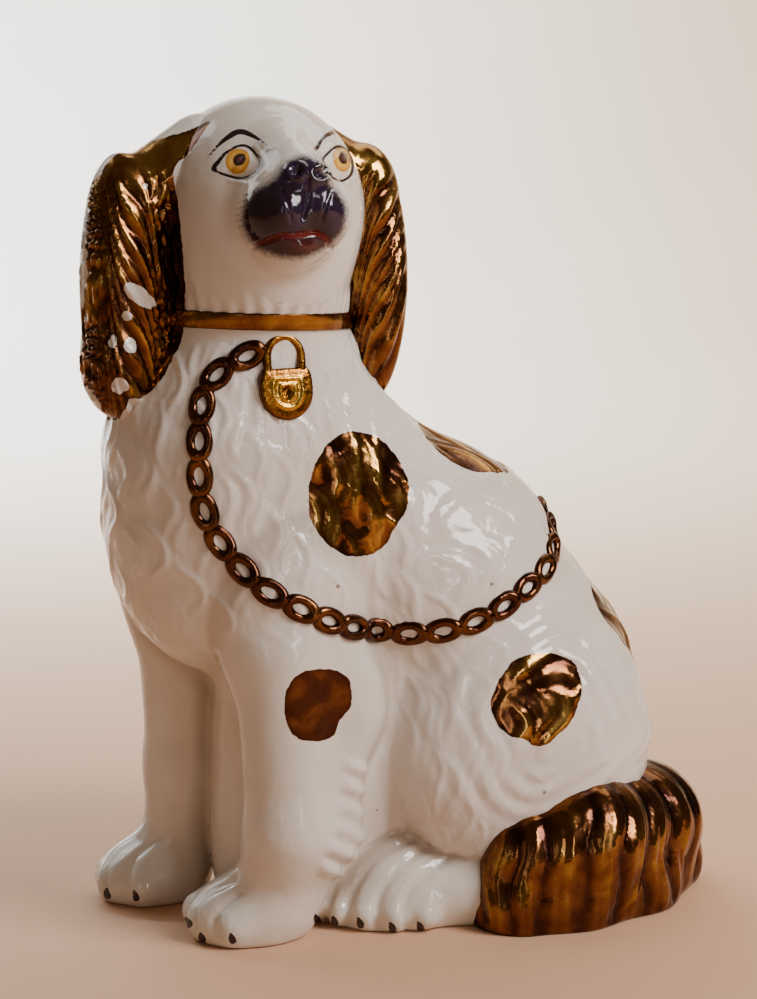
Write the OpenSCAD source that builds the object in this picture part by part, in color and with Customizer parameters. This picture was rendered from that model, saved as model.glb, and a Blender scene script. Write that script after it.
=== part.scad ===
// Seated comforter spaniel, a slip of white-glazed earthenware with copper lustre.
// It is pressed hollow in a two-part mould, closed with a base slab, and the
// forelegs, paws, ears, tail, collar, padlock and chain are luted to the skin.
// Millimetres. +Z is up, the chest is towards -X, the rump towards +X, and the
// display side (the dog's left) is towards -Y. The origin is under the middle.

/* [Figure] */
// Height from the table to the top of the head
height = 293; // [150:1:350]
// Thickness of the pressed clay wall
wall = 5; // [4:0.5:8]
// Where the mould seam lies, from the display side (-) to the plain side (+)
seam_y = 3; // [-4:1:8]

/* [Base] */
// Thickness of the slab that closes the foot
base_t = 6; // [4:0.5:9]
// Diameter of the firing vent in the slab
vent_d = 12; // [6:1:20]

/* [Collar and padlock] */
// Height of the collar band
collar_w = 6; // [3:0.5:8]
// How far the collar stands off the neck
collar_proud = 1.4; // [0.8:0.2:3]
// Height where the collar meets the throat
collar_z = 216; // [214:1:220]
// Width of the padlock's body
lock_w = 18; // [14:1:20]
// Thickness of the padlock
lock_t = 3; // [2:0.5:5]

/* [Chain] */
// Length of one link
link_l = 11.8; // [8:0.2:14]
// Width of one link
link_w = 8.4; // [6:0.2:11]
// Thickness of the link's strand
link_wire = 2.4; // [1.6:0.2:3]

/* [Modelled ridges] */
// Number of locks combed along the tail
tail_ridges = 9; // [5:1:12]
// Depth of the grooves in the tail and ears
ridge_depth = 1.6; // [0:0.2:2.4]

/* [Hidden] */

// The masses below are set out for a figure this tall, then scaled.
DRAWN_HEIGHT = 293;
figure_scale = height / DRAWN_HEIGHT;

WHITE = [0.86, 0.83, 0.78];
LUSTRE = [0.50, 0.25, 0.10];
GOLD = [0.72, 0.48, 0.16];

// A mass is a ball, [centre, radii], a turned ball, [centre, radii, long axis],
// or a limb, [end, end, radius, radius].
TRUNK = [
    [[-60, 4, 150], [41, 41, 60]],                // chest
    [[-55, 4, 178], [-48, 1, 226], 40, 30],       // neck
    [[-46, 3, 206], [-24, 4, 158], 29, 36],       // nape
    [[-36, 4, 156], [20, 4, 118], 40, 46],        // back
    [[20, 4, 118], [46, 4, 72], 46, 52],          // loin
    [[46, 4, 72], [48, 4, 10], 52, 50],           // seat
    [[-20, 4, 60], [42, 37, 84]],                 // belly
    [[-30, 6, 18], [30, 28, 44]]                  // web between the legs
];
HAUNCHES = [
    [[42, -34, 60], [50, 26, 50]],
    [[42, 42, 60], [50, 22, 50]]
];
HEAD = [
    [[-47, -2, 254], [36, 41, 39]],               // skull
    [[-50, -10, 236], [-49, -3, 222], 30, 29],    // jaw
    [[-51, -42, 256], [17, 15, 19]]               // muzzle
];
LEFT_FORELEG = [
    [[-46, -26, 120], [29, 20, 42]],              // shoulder
    [[-51, -31, 100], [-50, -35, 40], 17, 15.5],  // leg
    [[-30, -30, 92], [-35, -32, 36], 14, 10],     // feathering
    [[-24, -28, 80], [12, 13, 16]],               // elbow
    [[-50, -35, 40], [-54, -28, 16], 15, 14],     // wrist
    [[-35, -32, 36], [-47, -27, 12], 10, 9],      // heel
    [[-60, -22, 7], [22, 18, 16]]                 // paw
];
RIGHT_FORELEG = [
    [[-64, 28, 128], [26, 20, 42]],
    [[-65, 30, 110], [-62, 33, 50], 17, 15],
    [[-62, 33, 50], [-65, 34, 20], 15, 14],
    [[-75, 35, 7], [21, 18, 16]]
];
LEFT_HIND_PAW = [
    [[-4, -17, 4], [28, 25, 32], [-0.62, -0.78, 0]],
    [[0, -30, 10], [30, -42, 12], 16, 16]
];
RIGHT_HIND_PAW = [
    [[-2, 30, 4], [28, 25, 30], [-0.62, 0.78, 0]],
    [[0, 38, 10], [30, 46, 12], 15, 15]
];
TAIL = [
    [[38, -49, 23], [58, -50, 26], 21, 24],
    [[58, -50, 26], [90, -34, 25], 24, 23],
    [[90, -34, 25], [104, -14, 15], 23, 17.5],
    [[33, -50, 8], [50, -52, 8], 20, 20],
    [[50, -52, 8], [78, -45, 8], 20, 20],
    [[78, -45, 8], [102, -27, 8], 20, 18]
];
LEFT_EAR = [
    [[-6, -4, 230], [13, 17, 45]],
    [[-26, 0, 272], [-8, -2, 262], 12, 11]
];
RIGHT_EAR = [
    [[-96.5, 2, 229], [13.5, 17, 45]],
    [[-66, 2, 273], [-91, 2, 258], 14, 13],
    [[-99, 0, 202], [12, 15, 17]],
    [[-88, 0, 254], [-87, 1, 200], 11, 11]
];

// How softly the masses run into each other
TRUNK_BLEND = 14;
HAUNCH_BLEND = 10;
BODY_BLEND = 8;
SMALL_BLEND = 5;

// The line inside the body that its skin is measured out from: [z, x]
BODY_AXIS = [[0, 12], [90, 0], [140, -28], [200, -48], [300, -47]];
// The line inside each luted piece: [z, x] and [z, y]
LEFT_FORELEG_X = [[0, -59], [16, -57], [40, -51], [150, -46]];
LEFT_FORELEG_Y = [[0, -26], [16, -30], [40, -38], [100, -42], [150, -39]];
RIGHT_FORELEG_X = [[0, -74], [24, -66], [60, -63], [150, -66]];
RIGHT_FORELEG_Y = [[0, 36], [60, 36], [110, 42], [150, 44]];
LEFT_EAR_X = [[180, -5], [260, -4], [274, -8]];
RIGHT_EAR_X = [[180, -97], [250, -97], [264, -91], [276, -86]];
// The tail's own line, from its tip by the hind paw round to the rump
TAIL_LINE = [
    [15, -51, 14], [33, -56, 20], [57, -62, 22], [84, -54, 21], [104, -37, 17], [120, -10, 12]
];
// The chain's line over the shoulder, under the flank and up to the back
CHAIN_LINE = [
    [-62, -33, 211], [-77, -28, 197], [-81, -31, 176], [-79, -33, 152],
    [-66, -40, 132], [-48, -46, 120], [-26, -40, 111], [-3, -39, 107],
    [17, -46, 111], [37, -43, 120], [52, -34, 128], [60, -16, 138], [60, 12, 140]
];
// The neck's radius under the collar
NECK_R = 33;
// Where the middle of the padlock lies on the throat
LOCK_AT = [-51, -35, 195];

// Where the vent comes through the slab
VENT_AT = [34, 4];
// Brings the origin under the middle of the finished figure
TO_MIDDLE = [-5.5, 5, 0];

SHELL_LEVELS = 40;
HALF_STEPS = 22;
MARCH_STEPS = 26;
MARCH_FROM = 130;
LUTE_GAP = 0.1;

function clamp(v) = max(0, min(1, v));
function unit(v) = v / norm(v);
function over(p, r) = [p.x / r.x, p.y / r.y, p.z / r.z];

// Distance from a point to each kind of mass, negative inside
function ball(p, c, r) =
    let (q = over(p - c, r), away = norm(q)) away * (away - 1) / max(norm(over(q, r)), 1e-6);
function turned_ball(p, c, r, along) =
    let (d = p - c, u = unit(along), side = [-u.y, u.x, 0]) ball([d * u, d * side, d.z], [0, 0, 0], r);
function limb(p, a, b, ra, rb) =
    let (ab = b - a, t = clamp((p - a) * ab / (ab * ab))) norm(p - a - t * ab) - ra - t * (rb - ra);
function mass(p, m) =
    len(m) == 2 ? ball(p, m[0], m[1])
    : len(m) == 3 ? turned_ball(p, m[0], m[1], m[2])
    : limb(p, m[0], m[1], m[2], m[3]);

// Two distances run together as wet clay would
function blend(a, b, k) = let (h = clamp(0.5 + 0.5 * (b - a) / k)) b + (a - b) * h - k * h * (1 - h);
function group(p, masses, k, i = 0, sum = 1e6) =
    i == len(masses) ? sum
    : group(p, masses, k, i + 1, i == 0 ? mass(p, masses[0]) : blend(sum, mass(p, masses[i]), k));
function body(p) =
    blend(blend(group(p, TRUNK, TRUNK_BLEND), group(p, HAUNCHES, HAUNCH_BLEND), BODY_BLEND),
        group(p, HEAD, BODY_BLEND), BODY_BLEND);
// The body with the left foreleg on it, which the chain crosses
function display_side(p) = blend(body(p), group(p, LEFT_FORELEG, BODY_BLEND), BODY_BLEND);

// A luted piece stops where the body's skin starts, and at the table
function luted(p, masses) = max(group(p, masses, SMALL_BLEND), LUTE_GAP - body(p), -p.z);

// Distance along a ray, coming inwards, to where the body is `depth` deep
function inwards(o, d, depth, t, n) =
    let (f = body(o + t * d) + depth) n == 0 || t < 1 || f < 0.03 ? max(t, 1)
    : inwards(o, d, depth, t - 0.9 * f, n - 1);
// Distance along a ray, going outwards, to a luted piece's skin
function outwards(o, d, masses, t, n) =
    let (f = luted(o + t * d, masses)) n == 0 || f > -0.03 ? max(t, 0.4)
    : outwards(o, d, masses, t - 0.8 * f, n - 1);

// A closed solid from a stack of rings, each with the same number of points
function strips(levels, n) = [
    for (i = [0 : levels - 2], j = [0 : n - 1]) let (a = i * n + j, b = i * n + (j + 1) % n)
        each [[a, a + n, b + n], [a, b + n, b]]
];
module skin(rings) {
    n = len(rings[0]);
    last = (len(rings) - 1) * n;
    polyhedron(
        points = [for (r = rings) each r],
        faces = concat(
            strips(len(rings), n),
            [[for (j = [0 : n - 1]) j]], [[for (j = [n - 1 : -1 : 0]) last + j]]
        )
    );
}

// Heights that crowd together towards the crown
function crowd(i, top) = base_t + (top - base_t) * (1 - pow(1 - i / SHELL_LEVELS, 1.4));
function body_point(z, angle, depth) =
    let (o = [lookup(z, BODY_AXIS), seam_y, z], d = [cos(angle), sin(angle), 0])
    o + inwards(o, d, depth, MARCH_FROM, MARCH_STEPS) * d;

// Half of the pressed body: the outer skin round from one seam to the other,
// then the inner skin back again, closed at the crown
module half_shell(start) {
    crown = [lookup(DRAWN_HEIGHT, BODY_AXIS), seam_y, DRAWN_HEIGHT];
    under = crown - [0, 0, wall];
    rings = [
        for (i = [0 : SHELL_LEVELS - 1]) concat(
            [for (j = [0 : HALF_STEPS])
                body_point(crowd(i, DRAWN_HEIGHT), start + j * 180 / HALF_STEPS, 0)],
            [for (j = [HALF_STEPS : -1 : 0])
                body_point(crowd(i, DRAWN_HEIGHT - wall), start + j * 180 / HALF_STEPS, wall)]
        )
    ];
    half = HALF_STEPS + 1;
    n = 2 * half;
    top = SHELL_LEVELS * n;
    last = top - n;
    foot = [for (j = [0 : half - 2]) each [[j, j + 1, n - 2 - j], [j, n - 2 - j, n - 1 - j]]];
    peak = [
        for (j = [0 : half - 2]) each [
            [last + j, top, last + j + 1],
            [last + half + j, top + 1, last + half + j + 1]
        ]
    ];
    seam = [
        [last + half - 1, top, top + 1], [last + half - 1, top + 1, last + half],
        [last + n - 1, top + 1, top], [last + n - 1, top, last]
    ];
    polyhedron(
        points = concat([for (r = rings) each r], [crown, under]),
        faces = concat(strips(SHELL_LEVELS, n), foot, peak, seam)
    );
}

// A luted piece from level rings round its own upright line
module level_piece(masses, zs, xs, ys, steps) {
    skin([
        for (z = zs) let (o = [lookup(z, xs), lookup(z, ys), z])
            [for (j = [0 : steps - 1]) let (d = [cos(j * 360 / steps), sin(j * 360 / steps), 0])
                o + outwards(o, d, masses, 0, MARCH_STEPS) * d]
    ]);
}

// Points on a smooth curve through hand-set points
function curve(line, s) =
    let (
        i = max(0, min(floor(s), len(line) - 2)), t = s - i,
        p1 = line[i], p2 = line[i + 1],
        p0 = i > 0 ? line[i - 1] : 2 * p1 - p2,
        p3 = i + 2 < len(line) ? line[i + 2] : 2 * p2 - p1
    )
    0.5 * (2 * p1 + (p2 - p0) * t + (2 * p0 - 5 * p1 + 4 * p2 - p3) * t * t
        + (3 * p1 - p0 - 3 * p2 + p3) * t * t * t);

function slope(p) = let (e = 0.2) unit([
    display_side(p + [e, 0, 0]) - display_side(p - [e, 0, 0]),
    display_side(p + [0, e, 0]) - display_side(p - [0, e, 0]),
    display_side(p + [0, 0, e]) - display_side(p - [0, 0, e])
]);
// The nearest point on the display side's skin
function settle(p, n = 4) = n == 0 ? p : settle(p - display_side(p) * slope(p), n - 1);

// Brings a piece from the drawn masses to its real size and place
module placed() {
    scale(figure_scale) translate(TO_MIDDLE) children();
}

module display_half_shell() {
    color(WHITE) placed() half_shell(180);
}

module plain_half_shell() {
    color(WHITE) placed() half_shell(0);
}

module base_slab() {
    steps = 4 * HALF_STEPS;
    outline = [for (j = [0 : steps - 1]) let (p = body_point(base_t, j * 360 / steps, 0)) [p.x, p.y]];
    color(WHITE)
        placed()
        linear_extrude(base_t)
        difference() {
            polygon(outline);
            translate(VENT_AT) circle(d = vent_d, $fn = 48);
        }
}

module left_foreleg() {
    zs = [0, 3, 7, 12, 17, 22, 30, 42, 56, 68, 78, 88, 98, 110, 124, 138, 150, 158];
    color(WHITE) placed() level_piece(LEFT_FORELEG, zs, LEFT_FORELEG_X, LEFT_FORELEG_Y, 18);
}

module right_foreleg() {
    zs = [0, 3, 7, 12, 17, 22, 30, 42, 56, 70, 84, 98, 112, 126, 140, 152];
    color(WHITE) placed() level_piece(RIGHT_FORELEG, zs, RIGHT_FORELEG_X, RIGHT_FORELEG_Y, 18);
}

module left_hind_paw() {
    zs = [0, 3, 8, 13, 18, 23, 28];
    xs = [[0, -4], [28, -6]];
    ys = [[0, -35], [28, -32]];
    color(WHITE) placed() level_piece(LEFT_HIND_PAW, zs, xs, ys, 22);
}

module right_hind_paw() {
    zs = [0, 3, 8, 13, 18, 23, 28];
    xs = [[0, -4], [28, -4]];
    ys = [[0, 44], [28, 42]];
    color(WHITE) placed() level_piece(RIGHT_HIND_PAW, zs, xs, ys, 22);
}

// The tail's rings stand across its line, and swell and pinch as combed locks
module tail() {
    rings = 5 * tail_ridges;
    spread = len(TAIL_LINE) - 1;
    color(LUSTRE) placed() skin([
        for (i = [0 : rings]) let (
            s = spread * i / rings,
            o = curve(TAIL_LINE, s),
            ahead = curve(TAIL_LINE, s + 0.02) - curve(TAIL_LINE, s - 0.02),
            out = unit([ahead.y, -ahead.x, 0]),
            groove = ridge_depth * (0.5 + 0.5 * cos(360 * tail_ridges * i / rings))
        ) [
            for (j = [0 : 13]) let (
                a = j * 360 / 14,
                d = out * cos(a) + [0, 0, sin(a)],
                r = outwards(o, d, TAIL, 0, MARCH_STEPS),
                // grooves fade where the tail meets the table and the rump
                fade = clamp((r - 6) / 8) * clamp(0.3 + cos(a - 30))
            ) o + (r - groove * fade) * d
        ]
    ]);
}

module left_ear() {
    zs = [186, 189, 194, 200, 208, 216, 224, 232, 240, 248, 256, 263, 269, 274];
    color(LUSTRE) placed() level_piece(LEFT_EAR, zs, LEFT_EAR_X, [[180, -5], [280, -3]], 18);
}

module right_ear() {
    zs = [185.5, 188, 193, 200, 208, 216, 224, 232, 240, 248, 256, 263, 269, 273];
    color(LUSTRE) placed() level_piece(RIGHT_EAR, zs, RIGHT_EAR_X, [[180, 0], [280, 2]], 18);
}

// A flat band round the neck, a little higher at the throat than at the nape
module collar_band() {
    steps = 48;
    rise = 0.06;
    color(LUSTRE) placed() hoop([
        for (j = [0 : steps - 1]) let (
            d = [cos(j * 360 / steps), sin(j * 360 / steps), 0],
            z = collar_z - NECK_R * rise * (d.x + d.y),
            low = body_point(z - collar_w / 2, j * 360 / steps, 0),
            high = body_point(z + collar_w / 2, j * 360 / steps, 0)
        ) [low, low + collar_proud * d + [0, 0, 0.5], high + collar_proud * d - [0, 0, 0.5], high]
    ]);
}

// A closed hoop whose section is given at each step round it
module hoop(sections) {
    n = len(sections);
    k = len(sections[0]);
    polyhedron(
        points = [for (s = sections) each s],
        faces = [
            for (i = [0 : n - 1], j = [0 : k - 1]) let (
                a = i * k + j, b = i * k + (j + 1) % k,
                c = ((i + 1) % n) * k + j, d = ((i + 1) % n) * k + (j + 1) % k
            ) each [[a, b, d], [a, d, c]]
        ]
    );
}

// Places a child on the skin, its Z outwards and its X along the given way
module on_skin(at, along) {
    z = slope(at);
    y = unit(cross(z, along));
    x = cross(y, z);
    multmatrix([[x.x, y.x, z.x, at.x], [x.y, y.y, z.y, at.y], [x.z, y.z, z.z, at.z], [0, 0, 0, 1]])
        children();
}

module padlock() {
    bow_r = 0.30 * lock_w;
    bow_wire = 0.085 * lock_w;
    sides = 0.14 * lock_w;
    shoulder = 0.30 * lock_w;
    color(GOLD) placed() on_skin(settle(LOCK_AT), [1, 0, 0]) {
        difference() {
            union() {
                linear_extrude(lock_t) {
                    circle(d = lock_w, $fn = 48);
                    translate([-lock_w / 2 + 1, 0]) square([lock_w - 2, lock_w / 2]);
                }
                cylinder(d = 0.5 * lock_w, h = lock_t + 0.6, $fn = 40);
            }
            // keyhole
            translate([0, 0, lock_t - 0.4]) {
                cylinder(d = 0.14 * lock_w, h = 2, $fn = 24);
                translate([-0.5, -0.16 * lock_w, 0]) cube([1, 0.16 * lock_w, 2]);
            }
        }
        // the bow, a half hoop on two straight legs
        translate([0, lock_w / 2 + sides, 0.5 * lock_t]) {
            rotate_extrude(angle = 180, $fn = 48) translate([bow_r, 0]) circle(r = bow_wire, $fn = 20);
            for (side = [-1, 1])
                translate([side * bow_r, -sides - 0.5, 0])
                    rotate([-90, 0, 0]) cylinder(r = bow_wire, h = sides + 0.5, $fn = 20);
        }
    }
}

// One link: an oval hoop of round strand lying on the skin
module link(l, w) {
    around = 12;
    sides = 5;
    rise = 0.5 * link_wire - 0.1;
    hoop([
        for (i = [0 : around - 1]) let (
            a = -i * 360 / around,
            mid = [(l - link_wire) / 2 * cos(a), (w - link_wire) / 2 * sin(a), rise],
            out = unit([w * cos(a), l * sin(a), 0])
        ) [for (j = [0 : sides - 1]) let (b = j * 360 / sides + 90)
            mid + link_wire / 2 * (out * cos(b) + [0, 0, sin(b)])]
    ]);
}

// How far each point of a path is from its start: [distance, index]
function distances(path, i = 0, sum = 0) =
    i == len(path) ? []
    : concat([[sum, i]], distances(path, i + 1, sum + norm(path[min(i + 1, len(path) - 1)] - path[i])));

// The links follow the chain's line at an even pitch
module chain() {
    spans = len(CHAIN_LINE) - 1;
    fine = 12;
    path = [for (i = [0 : spans * fine]) settle(curve(CHAIN_LINE, i / fine), 2)];
    run = distances(path);
    pitch = link_l + 0.3;
    count = floor((run[len(run) - 1][0] - link_l / 2) / pitch);
    color(LUSTRE) placed() for (k = [0 : count - 1]) {
        i = lookup(link_l / 2 + k * pitch, run) / fine;
        ahead = curve(CHAIN_LINE, i + 0.03) - curve(CHAIN_LINE, i - 0.03);
        on_skin(settle(curve(CHAIN_LINE, i)), ahead) link(link_l, link_w);
    }
}

display_half_shell();
plain_half_shell();
base_slab();
left_foreleg();
right_foreleg();
left_hind_paw();
right_hind_paw();
tail();
left_ear();
right_ear();
collar_band();
padlock();
chain();
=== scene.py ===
"""Looks for the seated spaniel: white glazed earthenware with copper lustre.

The skin is carved from soft masses in the figure's drawn millimetres, as in the CAD,
then given its combed hair, toes and face, and parted along the potter's own joins.
Paint is drawn on the display elevation, a sheet that stands through the figure's
middle, square to the viewer, and is carried onto the skin from there.
"""
import math

import bpy
import numpy as np
import openvdb
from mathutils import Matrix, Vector


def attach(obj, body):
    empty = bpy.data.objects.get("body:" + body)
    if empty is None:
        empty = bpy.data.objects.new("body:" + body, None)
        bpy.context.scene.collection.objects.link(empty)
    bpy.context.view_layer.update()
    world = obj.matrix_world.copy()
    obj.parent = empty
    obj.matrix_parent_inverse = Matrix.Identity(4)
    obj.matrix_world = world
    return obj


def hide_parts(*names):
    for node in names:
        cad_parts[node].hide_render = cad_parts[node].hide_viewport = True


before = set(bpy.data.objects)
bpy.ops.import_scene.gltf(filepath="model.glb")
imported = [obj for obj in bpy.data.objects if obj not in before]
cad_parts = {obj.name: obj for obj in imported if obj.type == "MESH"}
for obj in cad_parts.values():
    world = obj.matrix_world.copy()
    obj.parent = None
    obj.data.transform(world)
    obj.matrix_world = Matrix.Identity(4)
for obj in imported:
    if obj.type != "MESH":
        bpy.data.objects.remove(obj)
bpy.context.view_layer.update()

MM = 0.001
TO_MIDDLE = np.array([-5.5, 5.0, 0.0])     # from drawn millimetres to the row frame

# ---- the viewer
def towards(az, el):
    """Unit direction at an azimuth and elevation; azimuth 0 is the display side."""
    return np.array([math.sin(az) * math.cos(el), -math.cos(az) * math.cos(el), math.sin(el)])


VIEW_AZ, VIEW_EL = math.radians(-25), math.radians(10)
VIEW_D = 1000.0
AIM = np.array([0.0, 0.0, 148.0])
AWAY = towards(VIEW_AZ, VIEW_EL)
EYE = AIM + VIEW_D * AWAY
RIGHT = np.array([math.cos(VIEW_AZ), math.sin(VIEW_AZ), 0.0])
UP = np.cross(AWAY, RIGHT)
FRAME_TALL = 360.6  # height of the view at the figure's middle

# ---- the masses
# [centre, radii], [centre, radii, long axis] or [end, end, radius, radius]
TRUNK = [
    [(-60, 4, 150), (41, 41, 60)], [(-55, 4, 178), (-48, 1, 226), 40, 30],
    [(-46, 3, 206), (-24, 4, 158), 29, 36], [(-36, 4, 156), (20, 4, 118), 40, 46],
    [(20, 4, 118), (46, 4, 72), 46, 52], [(46, 4, 72), (48, 4, 10), 52, 50],
    [(-20, 4, 60), (42, 37, 84)], [(-30, 6, 18), (30, 28, 44)],
]
HAUNCHES = [[(42, -34, 60), (50, 26, 50)], [(42, 42, 60), (50, 22, 50)]]
HEAD = [
    [(-47, -2, 254), (36, 41, 39)], [(-50, -10, 236), (-49, -3, 222), 30, 29],
    [(-51, -42, 256), (17, 15, 19)],
]
SNOUT = [
    [(-50, -28, 275), (-51, -45, 269), 9, 8], [(-50.5, -51, 267), (10, 7, 6.5)],
    [(-58, -46, 256), (11, 12, 11)], [(-43, -47, 256), (10, 11, 11)],
    [(-53, -45, 245), (10, 10, 7)],
]
LEFT_FORELEG = [
    [(-46, -26, 120), (29, 20, 42)], [(-51, -31, 100), (-50, -35, 40), 17, 15.5],
    [(-30, -30, 92), (-35, -32, 36), 14, 10], [(-24, -28, 80), (12, 13, 16)],
    [(-50, -35, 40), (-54, -28, 16), 15, 14], [(-60, -22, 7), (22, 18, 16)],
    [(-35, -32, 36), (-47, -27, 12), 10, 9],
]
RIGHT_FORELEG = [
    [(-64, 28, 128), (26, 20, 42)], [(-65, 30, 110), (-62, 33, 50), 17, 15],
    [(-62, 33, 50), (-65, 34, 20), 15, 14], [(-75, 35, 7), (21, 18, 16)],
]
LEFT_HIND_PAW = [
    [(-4, -17, 4), (28, 25, 32), (-0.62, -0.78, 0)], [(0, -30, 10), (30, -42, 12), 16, 16],
]
RIGHT_HIND_PAW = [
    [(-2, 30, 4), (28, 25, 30), (-0.62, 0.78, 0)], [(0, 38, 10), (30, 46, 12), 15, 15],
]
TAIL = [
    [(38, -49, 23), (58, -50, 26), 21, 24], [(58, -50, 26), (90, -34, 25), 24, 23],
    [(90, -34, 25), (104, -14, 15), 23, 17.5], [(33, -50, 8), (50, -52, 8), 20, 20],
    [(50, -52, 8), (78, -45, 8), 20, 20], [(78, -45, 8), (102, -27, 8), 20, 18],
]
LEFT_EAR = [[(-6, -4, 230), (13, 17, 45)], [(-26, 0, 272), (-8, -2, 262), 12, 11]]
RIGHT_EAR = [
    [(-96.5, 2, 229), (13.5, 17, 45)], [(-66, 2, 273), (-91, 2, 258), 14, 13],
    [(-99, 0, 202), (12, 15, 17)], [(-88, 0, 254), (-87, 1, 200), 11, 11],
]
# Toes: [knuckle, tip, radius, radius]
LEFT_TOES = [
    [(-60, -14, 13), (-74, -10, 7), 8, 7], [(-60, -23, 14), (-76, -21, 7), 8, 7.5],
    [(-57, -31, 13), (-70, -32, 7), 8, 7],
]
RIGHT_TOES = [
    [(-75, 43, 13), (-88, 43, 7), 8, 7], [(-76, 34, 14), (-90, 33, 7), 8, 7.5],
    [(-73, 26, 12), (-84, 23, 7), 7.5, 7],
]
HIND_CLAWS = [(-35, -23), (-30, -30), (-23, -37), (-14, -43), (-4, -46)]
FAR_HIND_CLAWS = [(-33, 34), (-28, 41), (-20, 47), (-11, 51)]

# The line inside the body that its hair is measured round: heights and x places
SPINE = [0, 90, 140, 200, 300], [12, 0, -28, -48, -47]
SEAM_Y = 3
VENT_AT, VENT_R = (34, 4), 6
WALL = 4.5


# ---- field maths
def length(v):
    return np.linalg.norm(v, axis=-1)


def unit(v):
    return v / (length(v)[..., None] + 1e-9)


def turns(count):
    """Angles spread evenly over a full turn."""
    return np.linspace(0, 2 * np.pi, count + 1)[:-1]


def wave(x):
    """Runs from 1 down to 0 and back as x grows by 1."""
    return 0.5 + 0.5 * np.cos(2 * np.pi * x)


def lift_off(p, height, n):
    return (p + height[:, None] * n).astype(np.float32)


def ball(p, centre, radii):
    q = (p - np.float32(centre)) / np.float32(radii)
    away = np.sqrt((q * q).sum(1))
    g = q / np.float32(radii)
    return away * (away - 1) / (np.sqrt((g * g).sum(1)) + 1e-9)


def turned_ball(p, centre, radii, along):
    ax, ay = np.array(along[:2]) / math.hypot(*along[:2])
    d = p - np.float32(centre)
    q = np.stack([d[:, 0] * ax + d[:, 1] * ay, d[:, 1] * ax - d[:, 0] * ay, d[:, 2]], 1)
    return ball(q.astype(np.float32), (0, 0, 0), radii)


def limb(p, a, b, ra, rb):
    a, b = np.float32(a), np.float32(b)
    t = np.clip((p - a) @ (b - a) / ((b - a) @ (b - a)), 0, 1)
    d = p - a - t[:, None] * (b - a)
    return np.sqrt((d * d).sum(1)) - (ra + t * (rb - ra))


def blend(a, b, k):
    h = np.clip(0.5 + 0.5 * (b - a) / k, 0, 1)
    return b + (a - b) * h - k * h * (1 - h)


def mass(p, m):
    return (ball, turned_ball, limb)[len(m) - 2](p, *m)


def group(p, masses, k):
    out = mass(p, masses[0])
    for m in masses[1:]:
        out = blend(out, mass(p, m), k)
    return out


def body(p):
    trunk = blend(group(p, TRUNK, 14), group(p, HAUNCHES, 10), 8)
    return blend(trunk, group(p, HEAD, 8), 8)


def hind_toes(claws, side):
    return [[(x + 1, y - side, 6), (x + 17, y - 18 * side, 27), 5.2, 7.5] for x, y in claws]


LUTED = {
    "left_foreleg": (LEFT_FORELEG, LEFT_TOES),
    "right_foreleg": (RIGHT_FORELEG, RIGHT_TOES),
    "left_hind_paw": (LEFT_HIND_PAW, hind_toes(HIND_CLAWS, -1)),
    "right_hind_paw": (RIGHT_HIND_PAW, hind_toes(FAR_HIND_CLAWS, 1)),
}


def paw(p, name):
    masses, toes = LUTED[name]
    return blend(group(p, masses, 8), group(p, toes, 2.5), 3)


def ware(p):
    """The whole white skin, cut flat at the table, with its firing vent."""
    f = blend(body(p), group(p, SNOUT, 4), 5)
    # the joins are crisp at the feet and smoothed over at the shoulders
    k = 2.5 + 5 * ramp(p[:, 2], 80, 125)
    for name in LUTED:
        f = blend(f, paw(p, name), k)
    f = -blend(-f, p[:, 2], 1.5)
    vent = np.hypot(p[:, 0] - VENT_AT[0], p[:, 1] - VENT_AT[1]) - VENT_R
    return np.maximum(f, -np.maximum(vent, p[:, 2] - 7))


def slope(field, p, e=0.25):
    """Unit outward direction of the skin at points near it."""
    g = np.zeros_like(p)
    for corner in ((1, 1, 1), (1, -1, -1), (-1, 1, -1), (-1, -1, 1)):
        c = np.float32(corner)
        g += c * field(p + e * c)[:, None]
    return unit(g)


def settle(field, p, rounds=3):
    """The nearest points on a skin."""
    for _ in range(rounds):
        p = lift_off(p, -field(p), slope(field, p))
    return p


def carve(field, low, high, cell):
    """Quads over a field's skin, worked out only in the blocks that it passes through."""
    block = 4
    low = np.array(low, float)
    count = (np.ceil((np.array(high) - low) / cell / block).astype(int) + 1)
    spots = np.indices(count).reshape(3, -1).T
    middle = (low + (spots + 0.5) * block * cell - 0.5 * cell).astype(np.float32)
    coarse = field(middle)
    near = np.abs(coarse) < 1.6 * block * cell
    values = np.where(coarse > 0, 3 * cell, -3 * cell).astype(np.float32)
    values = np.repeat(values[:, None], block ** 3, 1)
    inner = np.indices((block, block, block)).reshape(3, -1).T
    places = (spots[near][:, None] * block + inner).reshape(-1, 3)
    points = (low + places * cell).astype(np.float32)
    batch = 300000
    found = np.concatenate([field(points[i:i + batch]) for i in range(0, len(points), batch)])
    values[near] = np.clip(found, -3 * cell, 3 * cell).reshape(-1, block ** 3)
    box = values.reshape(*count, block, block, block).transpose(0, 3, 1, 4, 2, 5)
    grid = openvdb.FloatGrid(3 * cell)
    grid.copyFromArray(np.ascontiguousarray(box.reshape(count * block)))
    grid.gridClass = openvdb.GridClass.LEVEL_SET
    p, quads = grid.convertToQuads(0.0)
    return settle(field, (p * cell + low).astype(np.float32), 1), quads[:, ::-1].astype(np.int64)


# ---- drawing on the sheet
def sheet(p):
    """Where points lie on the display elevation: across, and height above the table."""
    d = p - EYE
    depth = -(d @ AWAY)
    return np.stack([d @ RIGHT, d @ UP], 1) / depth[:, None] * VIEW_D + np.array([0, AIM[2]])


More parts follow.
